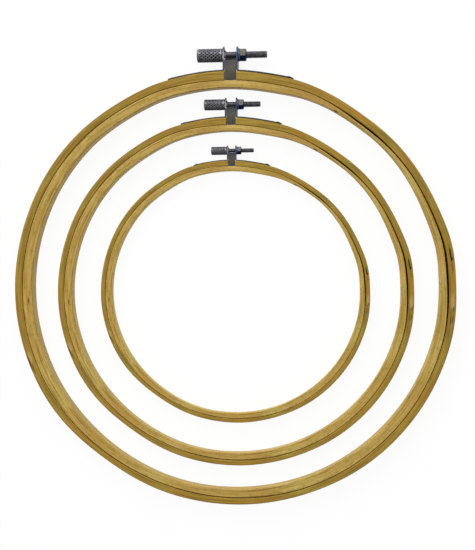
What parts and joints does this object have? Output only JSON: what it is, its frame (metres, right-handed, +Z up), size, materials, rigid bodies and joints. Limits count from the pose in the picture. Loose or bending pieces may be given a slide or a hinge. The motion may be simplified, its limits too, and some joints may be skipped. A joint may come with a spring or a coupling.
{
  "type": "embroidery hoop",
  "caption": "Nested bamboo embroidery hoops, each with an inner ring inside a split outer ring that a knurled thumb screw clamps shut.",
  "frame": {"origin": "under the middle of the whole set on the surface it lies on, lugs included", "axes": "+Z up along the axis of the rings, +Y towards the screw clamps, +X from the screws' heads to their tips"},
  "size_m": [0.26, 0.2743, 0.01],
  "materials": {
    "bamboo_inner": "satin",
    "bamboo_outer": "satin",
    "steel": "satin",
    "dark_steel": "satin",
    "nut_steel": "satin",
    "blue_washer": "gloss"
  },
  "bodies": {
    "large_left": {"large_outer_ring_left": "bamboo_outer", "large_left_bracket": "steel", "large_left_inner_tack": "steel", "large_left_outer_tack": "steel"},
    "large_right": {"large_outer_ring_right": "bamboo_outer", "large_right_bracket": "steel", "large_right_inner_tack": "steel", "large_right_outer_tack": "steel", "large_washer": "blue_washer", "large_nut": "nut_steel"},
    "large_screw": {"large_thumb_screw": "dark_steel"},
    "large_inner": {"large_inner_ring": "bamboo_inner"},
    "medium_left": {"medium_outer_ring_left": "bamboo_outer", "medium_left_bracket": "steel", "medium_left_inner_tack": "steel", "medium_left_outer_tack": "steel"},
    "medium_right": {"medium_outer_ring_right": "bamboo_outer", "medium_right_bracket": "steel", "medium_right_inner_tack": "steel", "medium_right_outer_tack": "steel", "medium_washer": "blue_washer", "medium_nut": "nut_steel"},
    "medium_screw": {"medium_thumb_screw": "dark_steel"},
    "medium_inner": {"medium_inner_ring": "bamboo_inner"},
    "small_left": {"small_outer_ring_left": "bamboo_outer", "small_left_bracket": "steel", "small_left_inner_tack": "steel", "small_left_outer_tack": "steel"},
    "small_right": {"small_outer_ring_right": "bamboo_outer", "small_right_bracket": "steel", "small_right_inner_tack": "steel", "small_right_outer_tack": "steel", "small_washer": "blue_washer", "small_nut": "nut_steel"},
    "small_screw": {"small_thumb_screw": "dark_steel"},
    "small_inner": {"small_inner_ring": "bamboo_inner"}
  },
  "joints": [
    {"name": "large_screw_turn", "type": "hinge", "parent": "large_left", "child": "large_screw", "pos_m": [0, 0.13215, 0.005], "axis": [-1, 0, 0], "range_deg": [0, 3060]},
    {"name": "large_opening", "type": "hinge", "parent": "large_left", "child": "large_right", "pos_m": [0, -0.13495, 0.005], "axis": [0, 0, -1], "range_deg": [0, 1.27]},
    {"name": "large_inner_lift", "type": "slide", "parent": "large_left", "child": "large_inner", "axis": [0, 0, 1], "range_m": [0, 0.015]},
    {"name": "medium_lift", "type": "slide", "parent": "large_left", "child": "medium_left", "axis": [0, 0, 1], "range_m": [0, 0.03]},
    {"name": "medium_screw_turn", "type": "hinge", "parent": "medium_left", "child": "medium_screw", "pos_m": [0, 0.10334, 0.00402], "axis": [-1, 0, 0], "range_deg": [0, 3060]},
    {"name": "medium_opening", "type": "hinge", "parent": "medium_left", "child": "medium_right", "pos_m": [0, -0.11158, 0.00402], "axis": [0, 0, -1], "range_deg": [0, 1.27]},
    {"name": "medium_inner_lift", "type": "slide", "parent": "medium_left", "child": "medium_inner", "axis": [0, 0, 1], "range_m": [0, 0.013]},
    {"name": "small_lift", "type": "slide", "parent": "large_left", "child": "small_left", "axis": [0, 0, 1], "range_m": [0, 0.03]},
    {"name": "small_screw_turn", "type": "hinge", "parent": "small_left", "child": "small_screw", "pos_m": [0, 0.07635, 0.00304], "axis": [-1, 0, 0], "range_deg": [0, 3060]},
    {"name": "small_opening", "type": "hinge", "parent": "small_left", "child": "small_right", "pos_m": [0, -0.08596, 0.00304], "axis": [0, 0, -1], "range_deg": [0, 1.27]},
    {"name": "small_inner_lift", "type": "slide", "parent": "small_left", "child": "small_inner", "axis": [0, 0, 1], "range_m": [0, 0.01]}
  ],
  "couplings": [
    {"joint": "large_screw_turn", "follows": "large_opening", "ratio": 2397.5},
    {"joint": "medium_screw_turn", "follows": "medium_opening", "ratio": 2396.4},
    {"joint": "small_screw_turn", "follows": "small_opening", "ratio": 2396.3}
  ]
}
